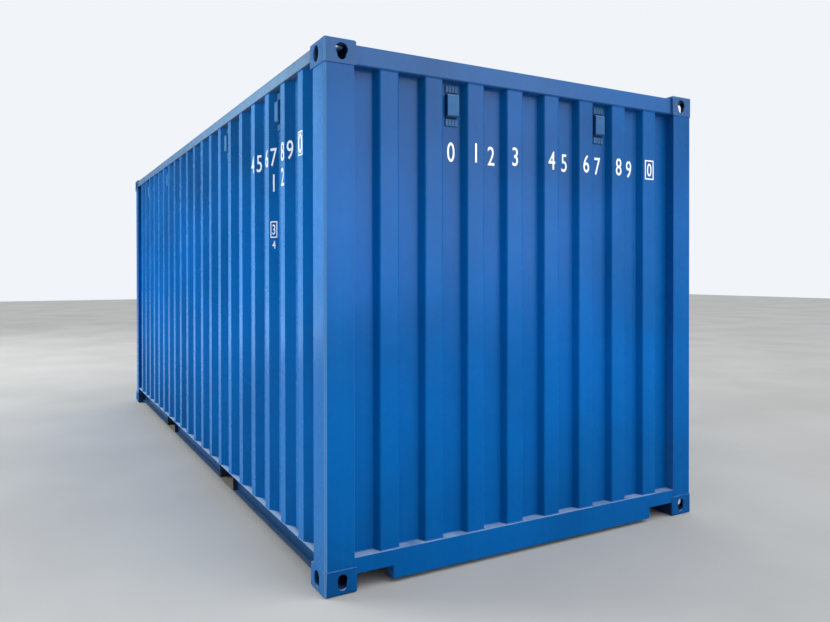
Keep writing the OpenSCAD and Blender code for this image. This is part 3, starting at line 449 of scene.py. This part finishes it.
class Parts:
    """Collects vertices and faces of many small forms into one mesh."""

    def __init__(self):
        self.verts, self.faces = [], []

    def add(self, verts, faces):
        start = len(self.verts)
        self.verts += [tuple(v) for v in verts]
        self.faces += [tuple(start + i for i in f) for f in faces]

    def skin(self, rings):
        """Joins rings of equally many points and closes both ends."""
        sides, last = len(rings[0]), len(rings) - 1
        faces = []
        for i in range(last):
            a, b = i * sides, (i + 1) * sides
            faces += [(a + k, a + (k + 1) % sides, b + (k + 1) % sides, b + k) for k in range(sides)]
        faces += [tuple(range(sides))[::-1], tuple(last * sides + k for k in range(sides))]
        self.add([v for ring in rings for v in ring], faces)

    def tube(self, path, radius, sides, ripple):
        """A bead along a path of points. Its radius goes up and down by the share `ripple`."""
        path = [Vector(p) for p in path]
        last = len(path) - 1
        rings = []
        for i, p in enumerate(path):
            along = (path[min(i + 1, last)] - path[max(i - 1, 0)]).normalized()
            side = along.cross(Vector((0, 0, 1)))
            if side.length < 0.1:
                side = along.cross(Vector((1, 0, 0)))
            side.normalize()
            over = side.cross(along).normalized()
            rings.append(circle(p, radius * (1 + ripple * (1 if i % 2 else -1)), side, over, sides))
        self.skin(rings)

    def turned(self, base, axis, profile, sides):
        """A form turned round `axis` from `base`: profile is (radius, height) pairs in metres."""
        base, axis = Vector(base), Vector(axis).normalized()
        side = axis.orthogonal().normalized()
        over = axis.cross(side)
        self.skin([circle(base + axis * h, r, side, over, sides) for r, h in profile])

    def bolt(self, base, axis, r):
        """A washer and a six-sided head with a turned top, in shares of the radius."""
        washer = [(1.45, 0), (1.45, 0.22), (1.3, 0.3), (1.0, 0.3)]
        head = [(1.08, 0), (1.08, 0.62), (0.86, 0.82), (0.4, 0.84)]
        self.turned(base, axis, [(r * a, r * h) for a, h in washer], 18)
        seat = Vector(base) + Vector(axis).normalized() * r * 0.28
        self.turned(seat, axis, [(r * a, r * h) for a, h in head], 6)

    def rivet(self, base, axis, r):
        """A domed head, in shares of the radius."""
        dome = [(1, 0), (0.94, 0.3), (0.68, 0.6), (0.3, 0.74)]
        self.turned(base, axis, [(r * a, r * h) for a, h in dome], 12)

    def object(self, name, material, slot):
        mesh = bpy.data.meshes.new(name)
        mesh.from_pydata(self.verts, [], self.faces)
        mesh.validate()
        mesh.update()
        for face in mesh.polygons:
            face.use_smooth = True
        obj = place(name, mesh, material, slot)
        soft = obj.modifiers.new("soft", "NODES")
        soft.node_group = SOFT
        return obj


def steps(a, b, step):
    """Points from a to b, about `step` apart."""
    a, b = Vector(a), Vector(b)
    n = max(1, round((b - a).length / step))
    return [a + (b - a) * i / n for i in range(n + 1)]


def run(points, step):
    """Points along a line of corners, about `step` apart."""
    out = []
    for a, b in zip(points, points[1:]):
        out += steps(a, b, step)[:-1]
    return out + [Vector(points[-1])]


# Named places, read from the frame
def low_high(name):
    low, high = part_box(name)
    return Vector(low), Vector(high)


post_low, post_high = low_high("front_right_post")
rear_low, rear_high = low_high("rear_right_post")
front_low, front_high = low_high("front_wall")
wall_low, wall_high = low_high("right_wall")
sill_high = low_high("front_sill")[1]
header_low, header_high = low_high("front_header")
rail_low, rail_high = low_high("right_top_rail")
casting_high = low_high("front_right_bottom_casting")[1]
top_casting_low = low_high("front_right_top_casting")[0]
roof_low, roof_high = low_high("roof")

# The pressed sheets: crest, pitch, slope and depth, and how many crests, as the part has them
SIDE_CREST, SIDE_PITCH, SIDE_SLOPE, SIDE_DEEP = 72 * MM, 278 * MM, 68 * MM, 36 * MM
SIDE_COUNT, SIDE_FRONT_FLAT = 20, 98 * MM
FRONT_CREST, FRONT_PITCH, FRONT_SLOPE, FRONT_DEEP = 102 * MM, 250 * MM, 18 * MM, 45.6 * MM
FRONT_COUNT = 8
SIDE_CREST_Y, SIDE_TROUGH_Y = wall_low.y, wall_low.y + SIDE_DEEP
FRONT_CREST_X, FRONT_TROUGH_X = front_high.x, front_high.x - FRONT_DEEP
FIRST_CREST_X = wall_high.x - (SIDE_FRONT_FLAT + SIDE_SLOPE)
FRONT_MIDDLES = [(i - (FRONT_COUNT - 1) / 2) * FRONT_PITCH for i in range(FRONT_COUNT)]


def side_line(y_side, z, out):
    """The line `out` beyond a side wall's face at one height, from the front to the rear."""
    points = [(wall_high.x, SIDE_TROUGH_Y - out)]
    for i in range(SIDE_COUNT):
        x = FIRST_CREST_X - i * SIDE_PITCH
        points += [(x + SIDE_SLOPE, SIDE_TROUGH_Y - out), (x, SIDE_CREST_Y - out),
                   (x - SIDE_CREST, SIDE_CREST_Y - out),
                   (x - SIDE_CREST - SIDE_SLOPE, SIDE_TROUGH_Y - out)]
    points.append((wall_low.x, SIDE_TROUGH_Y - out))
    return [Vector((x, y if y_side < 0 else -y, z)) for x, y in points]


def front_line(z, out):
    """The line `out` beyond the front wall's face at one height, from right to left."""
    points = [(front_low.y, FRONT_TROUGH_X + out)]
    for y in FRONT_MIDDLES:
        a, b = y - FRONT_CREST / 2, y + FRONT_CREST / 2
        points += [(a - FRONT_SLOPE, FRONT_TROUGH_X + out), (a, FRONT_CREST_X + out),
                   (b, FRONT_CREST_X + out), (b + FRONT_SLOPE, FRONT_TROUGH_X + out)]
    points.append((front_high.y, FRONT_TROUGH_X + out))
    return [Vector((x, y, z)) for y, x in points]


BEAD = 2.6 * MM          # radius of a weld bead
SEAM = 0.5 * MM          # from a seam to the middle of its bead
LIFT = 1 * MM            # from a sheet's face to the middle of its bead
SLEEVE_INSET = 26 * MM   # from the end of a fork pocket to the rail's web


def weld_beads():
    """Fillet welds where the sheets and members meet."""
    b = Parts()

    def short_bead(*path):
        b.tube(run(path, 5 * MM), BEAD, 7, 0.13)

    def long_bead(path, step, ripple=0.1):
        b.tube(run(path, step), BEAD, 6, ripple)

    for y_side in (-1, 1):
        def pt(x, y, z):
            return Vector((x, y * -y_side, z))

        def post_bead(z, x, corner, y_end, reach, cut):
            """Round a post: from `x` along its side, over the rounded corner, to `y_end`."""
            turn = 1 if x > corner.x else -1
            short_bead(pt(x, corner.y, z), pt(corner.x + turn * reach, corner.y, z),
                       pt(corner.x + turn * cut, corner.y + cut, z),
                       pt(corner.x, corner.y + reach, z), pt(corner.x, y_end, z))

        inner = post_high.y
        post_ends = (casting_high.z + SEAM, top_casting_low.z - SEAM)
        for z in post_ends:
            post_bead(z, post_low.x, Vector((post_high.x, post_low.y)), inner, 12 * MM, 3.5 * MM)
        # the front wall on the front post, and the side wall on both posts
        front_x, side_y = FRONT_TROUGH_X + LIFT, SIDE_TROUGH_Y - LIFT
        long_bead([pt(front_x, inner, sill_high.z), pt(front_x, inner, header_low.z)], 30 * MM, 0.08)
        for x in (post_low.x, wall_low.x):
            long_bead([pt(x, side_y, wall_low.z), pt(x, side_y, wall_high.z)], 30 * MM, 0.08)
        # the side wall on its rails
        for z in (wall_low.z + SEAM, wall_high.z - SEAM):
            long_bead(side_line(y_side, z, LIFT), 24 * MM)
        # sill, header and top rail against the castings
        short_bead(pt(sill_high.x, inner, casting_high.z), pt(sill_high.x, inner, sill_high.z))
        header_y, rail_end = casting_high.y, 6 * MM
        short_bead(pt(header_high.x, header_y, header_low.z), pt(header_high.x, header_y, header_high.z))
        short_bead(pt(rail_high.x, rail_low.y, rail_low.z + rail_end),
                   pt(rail_high.x, rail_low.y, rail_high.z - rail_end))
        # rear posts on their castings
        for z in post_ends:
            post_bead(z, rear_high.x, rear_low, rear_high.y, 9 * MM, 2.6 * MM)
        # roof sheet on the top rail
        roof_z = rail_high.z + BEAD / 2
        long_bead([pt(rail_low.x, roof_low.y, roof_z), pt(rail_high.x, roof_low.y, roof_z)], 24 * MM)
        # fork pocket sleeves in the bottom rail, open at the bottom
        for pocket in ("front_fork_pocket", "rear_fork_pocket"):
            low, high = low_high(pocket)
            y, foot = low.y + SLEEVE_INSET, low.z + 6 * MM
            long_bead([pt(low.x, y, foot), pt(low.x, y, high.z), pt(high.x, y, high.z),
                       pt(high.x, y, foot)], 10 * MM)
    for x in (roof_low.x, roof_high.x):
        z = header_high.z + BEAD / 2
        long_bead([(x, post_high.y, z), (x, -post_high.y, z)], 20 * MM)
    for z in (sill_high.z + SEAM, header_low.z - SEAM):
        long_bead(front_line(z, LIFT), 20 * MM)
    return b.object("weld_beads", weld_blue, "container_paint")


weld_beads()


def solids(name):
    """The boxes round the separate solids of a CAD node, in order of place."""
    work = bmesh.new()
    work.from_mesh(nodes[name].data)
    work.transform(nodes[name].matrix_world)
    bmesh.ops.remove_doubles(work, verts=work.verts, dist=0.01 * MM)
    left, boxes = set(work.verts), []
    while left:
        found, edge = set(), [left.pop()]
        while edge:
            v = edge.pop()
            found.add(v)
            for e in v.link_edges:
                other = e.other_vert(v)
                if other in left:
                    left.discard(other)
                    edge.append(other)
        boxes.append(tuple(Vector(pick(v.co[k] for v in found) for k in range(3)) for pick in (min, max)))
    work.free()
    # the walk starts from a set, which has no fixed order, so the boxes are put in one
    return sorted(boxes, key=lambda box: [tuple(corner) for corner in box])


# The door gear's plates: how thick each lies on the leaf, and where its fastenings sit
BRACKET_SHEET, BRACKET_EAR = 6 * MM, 30 * MM
KEEPER_SHEET, KEEPER_MARGIN, KEEPER_END = 5 * MM, 5.2 * MM, 20 * MM
CATCH_SHEET, CATCH_MARGIN, CATCH_REACH, CATCH_LONGEST = 5 * MM, 5 * MM, 14 * MM, 200 * MM
HINGE_BLADE, HINGE_PIN = 8 * MM, 12 * MM
HINGE_BOLTS = ((28 * MM, 24 * MM), (28 * MM, -24 * MM), (76 * MM, 0))
HUB, FORK_PIN, FORK_FACE, LEAF_MIDDLE = 23.5 * MM, 43 * MM, 13.5 * MM, 0.6


def door_fixings():
    """Bolts and rivets of the door gear, set on the faces of the CAD parts."""
    b = Parts()
    out = Vector((-1, 0, 0))
    for low, high in solids("rod_brackets"):
        middle = (low + high) / 2
        for y in (low.y + BRACKET_EAR / 2, high.y - BRACKET_EAR / 2):
            b.bolt((high.x - BRACKET_SHEET, y, middle.z), out, 7 * MM)
    for low, high in solids("rod_keepers"):
        for y in (low.y + KEEPER_END, high.y - KEEPER_END):
            for z in (low.z + KEEPER_MARGIN, high.z - KEEPER_MARGIN):
                b.rivet((high.x - KEEPER_SHEET, y, z), out, 4 * MM)
    for side, name in ((-1, "right_hinges"), (1, "left_hinges")):
        for low, high in solids(name):
            middle = (low + high) / 2
            pin_y = (low.y if side < 0 else high.y) - side * HINGE_PIN
            for reach, rise in HINGE_BOLTS:
                b.bolt((high.x - HINGE_BLADE, pin_y - side * reach, middle.z + rise), out, 7 * MM)
    for low, high in solids("door_handles"):
        middle = (low + high) / 2
        if high.y - low.y < CATCH_LONGEST:
            for y in (middle.y - CATCH_REACH, middle.y + CATCH_REACH):
                for z in (low.z + CATCH_MARGIN, high.z - CATCH_MARGIN):
                    b.rivet((high.x - CATCH_SHEET, y, z), out, 3.8 * MM)
        else:
            # the pin through the handle's fork, beside the hub on its rod
            near, far = sorted((low.y, high.y), key=abs)
            hub_end = near if abs(middle.y) < LEAF_MIDDLE else far
            along = 1 if middle.y > hub_end else -1
            b.bolt((low.x + FORK_FACE, hub_end + along * (HUB + FORK_PIN), middle.z), out, 8 * MM)
    return b.object("door_fixings", steel, "zinc_steel")


door_fixings()


BOLD = 0.003   # how far a digit's outline is pushed out, as a share of its size


def glyph(char):
    """One digit as a flat mesh, as the font draws it."""
    curve = bpy.data.curves.new("digit", "FONT")
    curve.body = char
    curve.size = 1.0
    curve.offset = BOLD
    curve.fill_mode = "FRONT"
    curve.resolution_u = 6
    obj = bpy.data.objects.new("digit", curve)
    scene.collection.objects.link(obj)
    bpy.context.view_layer.update()
    mesh = bpy.data.meshes.new_from_object(obj.evaluated_get(bpy.context.evaluated_depsgraph_get()))
    bpy.data.objects.remove(obj)
    bpy.data.curves.remove(curve)
    points = [v.co.copy() for v in mesh.vertices]
    faces = [tuple(p.vertices) for p in mesh.polygons]
    bpy.data.meshes.remove(mesh)
    return points, faces


def span_of(points, k):
    """Least and greatest value along axis `k`."""
    return min(p[k] for p in points), max(p[k] for p in points)


def digit(char, tall, wide):
    """One digit centred on the origin. A nought is `wide`, the others in proportion."""
    points, faces = glyph(char)
    nought = span_of(glyph("0")[0], 0)
    (x0, x1), (y0, y1) = span_of(points, 0), span_of(points, 1)
    sx, sy = wide / (nought[1] - nought[0]), tall / (y1 - y0)
    return [((p.x - (x0 + x1) / 2) * sx, (p.y - (y0 + y1) / 2) * sy, 0.0) for p in points], faces


FILM_THICK = 0.4 * MM


def marking(parts, shape, at, right, out):
    """Puts a thin closed film of a flat shape on an upright face: `right` lies in it, `out` leaves it."""
    verts, faces = shape
    at, right, up, out = Vector(at), Vector(right), Vector((0, 0, 1)), Vector(out)
    count = len(verts)
    back = [at + right * x + up * y + out * FILM_THICK / 10 for x, y, z in verts]
    rim = {}
    for face in faces:
        for a, b in zip(face, face[1:] + face[:1]):
            if (b, a) in rim:
                del rim[(b, a)]
            else:
                rim[(a, b)] = (b, a, a + count, b + count)
    parts.add([p + out * FILM_THICK * 0.9 for p in back] + back,
              faces + [tuple(i + count for i in face[::-1]) for face in faces] + list(rim.values()))


def frame_shape(wide, tall, line):
    """A rectangular outline."""
    a, b, c, d = wide / 2, tall / 2, wide / 2 - line, tall / 2 - line
    verts = [(-a, -b, 0), (a, -b, 0), (a, b, 0), (-a, b, 0),
             (-c, -d, 0), (c, -d, 0), (c, d, 0), (-c, d, 0)]
    return verts, [(0, 1, 5, 4), (1, 2, 6, 5), (2, 3, 7, 6), (3, 0, 4, 7)]


def slope_face(crest_index):
    """Middle, direction and normal of the slope on the front side of a side-wall crest."""
    x = FIRST_CREST_X - crest_index * SIDE_PITCH
    high, low = Vector((x, SIDE_CREST_Y, 0)), Vector((x + SIDE_SLOPE, SIDE_TROUGH_Y, 0))
    along = (low - high).normalized()
    return (high + low) / 2, along, Vector((along.y, -along.x, 0))


# Front wall: half pitches from the middle of the wall, where an odd one is a crest
FRONT_ROW_Z, FRAMED_PLACE = 2.122, 7
FRONT_PLACES = (-4, -3, -2, -1, 1, 2, 3, 4, 5, 6)
# Side wall: the digit, or none for a frame; its crest, counted from the front; whether it sits
# on that crest's slope; its height above the ground; how tall and wide it is in millimetres
SIDE_MARKS = (
    ("4", 3, False, 2.150, 100, 48), ("5", 3, True, 2.150, 100, 48),
    ("6", 2, False, 2.150, 100, 48), ("7", 2, True, 2.150, 100, 48),
    ("8", 1, False, 2.150, 100, 48), ("9", 1, True, 2.150, 100, 48),
    ("0", 0, False, 2.150, 100, 48), ("", 0, False, 2.150, 122, 64),
    ("1", 2, True, 2.005, 96, 46), ("2", 1, False, 2.015, 96, 46),
    ("", 2, True, 1.745, 92, 52), ("3", 2, True, 1.745, 56, 26), ("4", 2, True, 1.660, 44, 24))


def markings():
    """White counting digits, each on its own face of the sheet."""
    m = Parts()
    for char, k in zip("0123456789", FRONT_PLACES):
        at = (FRONT_CREST_X if k % 2 else FRONT_TROUGH_X, k * FRONT_PITCH / 2, FRONT_ROW_Z)
        marking(m, digit(char, 100 * MM, 44 * MM), at, (0, 1, 0), (1, 0, 0))
    for shape in (digit("0", 78 * MM, 36 * MM), frame_shape(72 * MM, 116 * MM, 7 * MM)):
        at = (FRONT_CREST_X, FRAMED_PLACE * FRONT_PITCH / 2, FRONT_ROW_Z)
        marking(m, shape, at, (0, 1, 0), (1, 0, 0))
    for char, crest, on_slope, z, tall, wide in SIDE_MARKS:
        if on_slope:
            at, right, out = slope_face(crest)
        else:
            at = Vector((FIRST_CREST_X - crest * SIDE_PITCH - SIDE_CREST / 2, SIDE_CREST_Y, 0))
            right, out = (1, 0, 0), (0, -1, 0)
        tall, wide = tall * MM, wide * MM
        shape = digit(char, tall, wide) if char else frame_shape(wide, tall, 6 * MM)
        marking(m, shape, (at.x, at.y, z), right, out)
    return m.object("plain_digits", white, "container_paint")


markings()


# Studio

bpy.ops.mesh.primitive_plane_add(size=80)
ground = bpy.context.object
ground.name = "studio_floor"
g = Shader("studio_floor")
g.bsdf.inputs["Specular IOR Level"].default_value = 0.0
pale = g.mix(g.span(g.noise(0.7, 4, 0.5), 0.3, 0.7), rgb(178, 176, 172), rgb(186, 184, 180))
ground.data.materials.append(g.finish(pale, 0.85, g.bump(g.noise(60, 3, 0.5), 0.001, 0.2)))


def studio_world():
    """Soft light from all round: brightest at the front, a dark flag beside the long side."""
    world = bpy.data.worlds.new("studio")
    scene.world = world
    world.use_nodes = True
    tree = world.node_tree
    back = tree.nodes["Background"]
    ray = tree.nodes.new("ShaderNodeTexCoord").outputs["Generated"]

    def toward(direction, low, high):
        dot = tree.nodes.new("ShaderNodeVectorMath")
        dot.operation = "DOT_PRODUCT"
        tree.links.new(ray, dot.inputs[0])
        dot.inputs[1].default_value = Vector(direction).normalized()
        span = tree.nodes.new("ShaderNodeMapRange")
        span.interpolation_type = "SMOOTHSTEP"
        tree.links.new(dot.outputs["Value"], span.inputs["Value"])
        span.inputs["From Min"].default_value = low
        span.inputs["From Max"].default_value = high
        return span.outputs["Result"]

    def blend(mask, a, b):
        mix = tree.nodes.new("ShaderNodeMix")
        mix.data_type = "RGBA"
        tree.links.new(mask, mix.inputs["Factor"])
        if hasattr(a, "is_output"):
            tree.links.new(a, mix.inputs["A"])
        else:
            mix.inputs["A"].default_value = a
        mix.inputs["B"].default_value = b
        return mix.outputs["Result"]

    sky = blend(toward((0, 0, 1), 0.0, 0.7), (0.86, 0.90, 0.96, 1), (0.95, 0.98, 1.0, 1))
    sky = blend(toward((0.75, 0.60, 0.25), 0.60, 0.95), sky, (2.1, 2.3, 2.5, 1))
    sky = blend(toward((0.17, -0.98, 0.0), 0.60, 0.84), sky, (0.10, 0.14, 0.22, 1))
    sky = blend(toward((-0.985, -0.17, 0.02), 0.88, 0.975), sky, (0.03, 0.12, 0.34, 1))
    seen = tree.nodes.new("ShaderNodeLightPath").outputs["Is Camera Ray"]
    sky = blend(seen, sky, (0.88, 0.91, 0.95, 1))
    tree.links.new(sky, back.inputs[0])


studio_world()


def soft_light(name, place, aim, size, power, colour, card=False, glossy=True, cone=180):
    """An area light. A card only shows as a reflection, and `cone` limits its spread in degrees."""
    data = bpy.data.lights.new(name, "AREA")
    data.shape = "RECTANGLE"
    data.size, data.size_y = size
    data.energy = power
    data.color = colour
    data.spread = math.radians(cone)
    light = bpy.data.objects.new(name, data)
    scene.collection.objects.link(light)
    light.location = place
    light.rotation_euler = (Vector(aim) - light.location).to_track_quat("-Z", "Y").to_euler()
    light.visible_camera = False
    light.visible_diffuse = not card
    light.visible_glossy = glossy


soft_light("front_light", (7.0, 1.5, 8.5), (1.0, 0, 1.2), (8, 6), 200, (1.0, 0.98, 0.96))
soft_light("side_light", (-11.0, -15.0, 5.6), (0.8, -1.2, 1.0), (12, 6), 1600, (0.92, 0.97, 1.0),
           glossy=False, cone=110)
soft_light("side_card", (-8.0, -5.4, 2.7), (0.0, -5.4, 2.7), (3.4, 6.6), 400, (0.33, 0.64, 0.96),
           card=True)
soft_light("front_card", (14.0, 5.5, 5.4), (3.0, 5.5, 5.4), (9.0, 8.4), 2300, (1.0, 0.86, 0.80),
           card=True)
